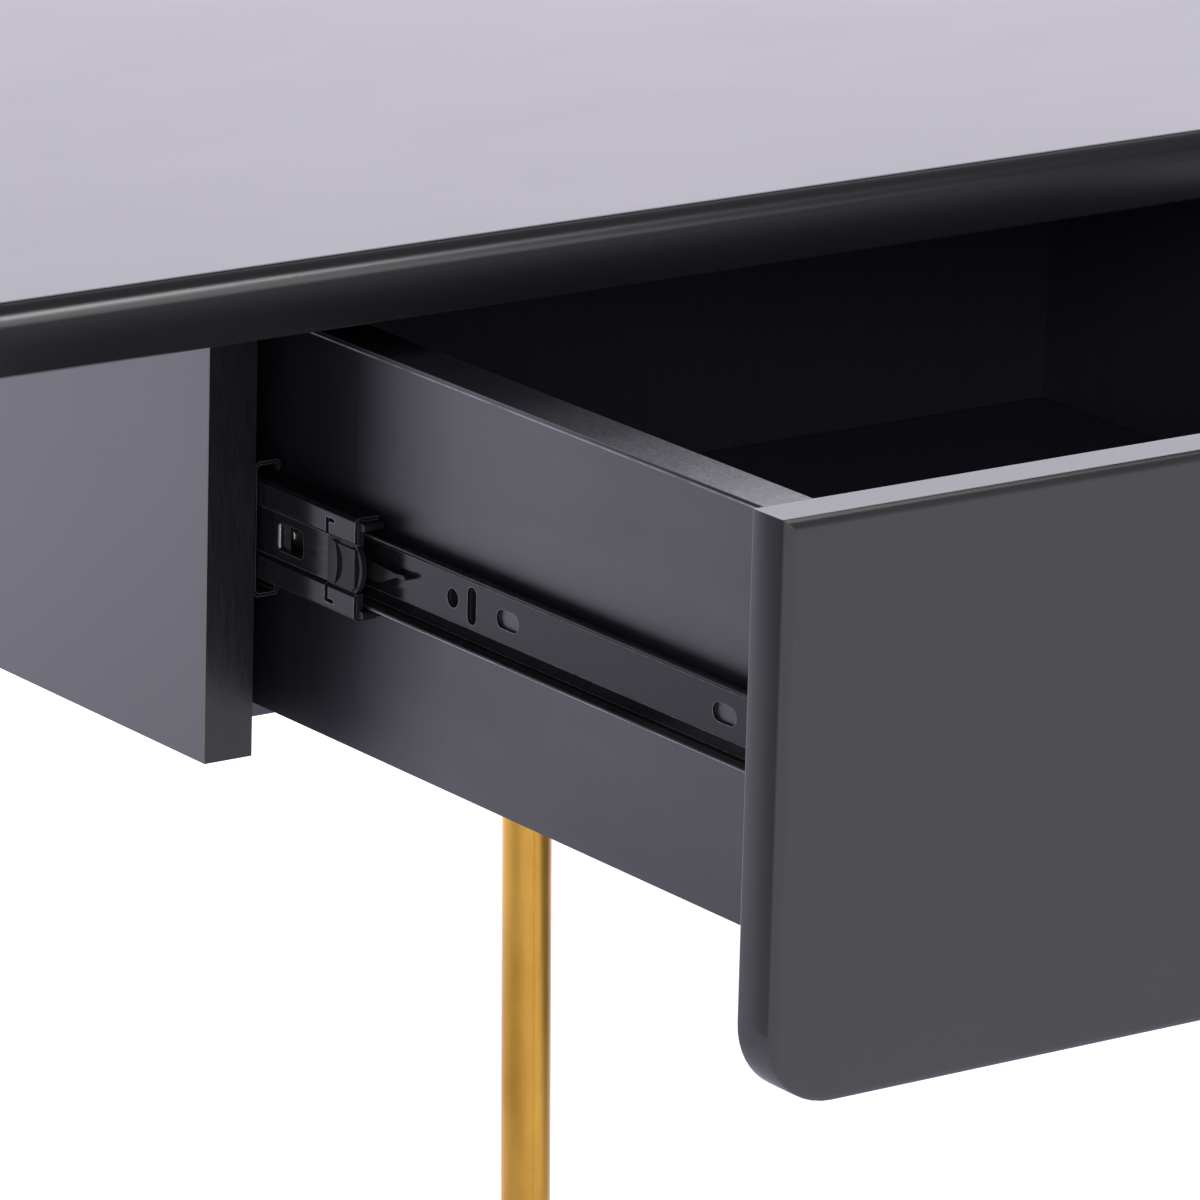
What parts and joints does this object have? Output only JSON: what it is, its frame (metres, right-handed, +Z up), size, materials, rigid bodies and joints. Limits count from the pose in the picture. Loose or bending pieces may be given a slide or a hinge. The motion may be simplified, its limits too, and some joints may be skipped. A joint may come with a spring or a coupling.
{
  "type": "writing desk with drawers",
  "caption": "Black writing desk with a drawer case hung at each side of the knee space, drawers on full-extension ball-bearing slides, and slim round brass legs.",
  "frame": {"origin": "on the floor, at the middle of the overall box with the right-hand drawer pulled out as modelled", "axes": "+X to the sitter's right-hand end, +Y to the back, +Z up"},
  "size_m": [1.6, 0.844, 0.76],
  "materials": {
    "black_lacquer_top": "satin black lacquer on board",
    "black_lacquer": "satin black lacquer on board",
    "black_panel": "matt black melamine board with a fine grain",
    "black_steel": "black electrophoretic coat on rolled steel",
    "black_plastic": "moulded black plastic",
    "black_screw": "black oxide",
    "zinc": "bright zinc plate",
    "bearing_steel": "polished balls in a plain steel cage",
    "brushed_brass": "brushed brass plate, lacquered"
  },
  "bodies": {
    "desk": {"desktop": "black_lacquer_top", "slide_case_screws": "black_screw", "board_screws": "zinc", "desktop_brackets": "zinc", "panel_edge_bands": "black_panel", "foot_glides": "black_plastic", "right_knee_panel": "black_panel", "right_end_panel": "black_panel", "right_case_back": "black_panel", "right_case_base": "black_panel", "right_leg_bar": "black_steel", "front_right_leg": "brushed_brass", "rear_right_leg": "brushed_brass", "right_knee_slide_case_member": "black_steel", "right_end_slide_case_member": "black_steel", "left_knee_panel": "black_panel", "left_end_panel": "black_panel", "left_case_back": "black_panel", "left_case_base": "black_panel", "left_leg_bar": "black_steel", "front_left_leg": "brushed_brass", "rear_left_leg": "brushed_brass", "left_knee_slide_case_member": "black_steel", "left_end_slide_case_member": "black_steel"},
    "right_middle_members": {"right_knee_slide_middle_member": "black_steel", "right_knee_slide_bumper": "black_plastic", "right_end_slide_middle_member": "black_steel", "right_end_slide_bumper": "black_plastic"},
    "right_case_cages": {"right_case_ball_cages": "bearing_steel"},
    "right_drawer_cages": {"right_drawer_ball_cages": "bearing_steel"},
    "right_drawer": {"right_drawer_front": "black_lacquer", "right_drawer_knee_side": "black_panel", "right_drawer_end_side": "black_panel", "right_drawer_back": "black_panel", "right_drawer_floor": "black_panel", "right_drawer_cam_locks": "zinc", "right_drawer_slide_screws": "black_screw", "right_drawer_lever_rivets": "zinc", "right_knee_slide_drawer_member": "black_steel", "right_end_slide_drawer_member": "black_steel"},
    "right_knee_lever": {"right_knee_slide_lever": "black_plastic"},
    "right_end_lever": {"right_end_slide_lever": "black_plastic"},
    "left_middle_members": {"left_knee_slide_middle_member": "black_steel", "left_knee_slide_bumper": "black_plastic", "left_end_slide_middle_member": "black_steel", "left_end_slide_bumper": "black_plastic"},
    "left_case_cages": {"left_case_ball_cages": "bearing_steel"},
    "left_drawer_cages": {"left_drawer_ball_cages": "bearing_steel"},
    "left_drawer": {"left_drawer_front": "black_lacquer", "left_drawer_knee_side": "black_panel", "left_drawer_end_side": "black_panel", "left_drawer_back": "black_panel", "left_drawer_floor": "black_panel", "left_drawer_cam_locks": "zinc", "left_drawer_slide_screws": "black_screw", "left_drawer_lever_rivets": "zinc", "left_knee_slide_drawer_member": "black_steel", "left_end_slide_drawer_member": "black_steel"},
    "left_knee_lever": {"left_knee_slide_lever": "black_plastic"},
    "left_end_lever": {"left_end_slide_lever": "black_plastic"}
  },
  "joints": [
    {"name": "right_middle_slide", "type": "slide", "parent": "desk", "child": "right_middle_members", "axis": [0, -1, 0], "range_m": [-0.061, 0.164]},
    {"name": "right_drawer_slide", "type": "slide", "parent": "right_middle_members", "child": "right_drawer", "axis": [0, -1, 0], "range_m": [-0.225, 0]},
    {"name": "right_case_cage_slide", "type": "slide", "parent": "desk", "child": "right_case_cages", "axis": [0, -1, 0], "range_m": [-0.0305, 0.082]},
    {"name": "right_drawer_cage_slide", "type": "slide", "parent": "right_middle_members", "child": "right_drawer_cages", "axis": [0, -1, 0], "range_m": [-0.1125, 0]},
    {"name": "right_knee_lever_pivot", "type": "hinge", "parent": "right_drawer", "child": "right_knee_lever", "pos_m": [0.2859, -0.1255, 0.656], "axis": [-1, 0, 0], "range_deg": [0, 4], "stiffness_Nm_per_rad": 0.02},
    {"name": "right_end_lever_pivot", "type": "hinge", "parent": "right_drawer", "child": "right_end_lever", "pos_m": [0.7301, -0.1255, 0.656], "axis": [1, 0, 0], "range_deg": [0, 4], "stiffness_Nm_per_rad": 0.02},
    {"name": "left_middle_slide", "type": "slide", "parent": "desk", "child": "left_middle_members", "axis": [0, -1, 0], "range_m": [0, 0.225]},
    {"name": "left_drawer_slide", "type": "slide", "parent": "left_middle_members", "child": "left_drawer", "axis": [0, -1, 0], "range_m": [0, 0.225]},
    {"name": "left_case_cage_slide", "type": "slide", "parent": "desk", "child": "left_case_cages", "axis": [0, -1, 0], "range_m": [0, 0.1125]},
    {"name": "left_drawer_cage_slide", "type": "slide", "parent": "left_middle_members", "child": "left_drawer_cages", "axis": [0, -1, 0], "range_m": [0, 0.1125]},
    {"name": "left_knee_lever_pivot", "type": "hinge", "parent": "left_drawer", "child": "left_knee_lever", "pos_m": [-0.2859, 0.1605, 0.656], "axis": [1, 0, 0], "range_deg": [0, 4], "stiffness_Nm_per_rad": 0.02},
    {"name": "left_end_lever_pivot", "type": "hinge", "parent": "left_drawer", "child": "left_end_lever", "pos_m": [-0.7301, 0.1605, 0.656], "axis": [-1, 0, 0], "range_deg": [0, 4], "stiffness_Nm_per_rad": 0.02}
  ],
  "couplings": [
    {"joint": "right_case_cage_slide", "follows": "right_middle_slide", "ratio": 0.5},
    {"joint": "right_drawer_cage_slide", "follows": "right_drawer_slide", "ratio": 0.5},
    {"joint": "left_case_cage_slide", "follows": "left_middle_slide", "ratio": 0.5},
    {"joint": "left_drawer_cage_slide", "follows": "left_drawer_slide", "ratio": 0.5}
  ]
}
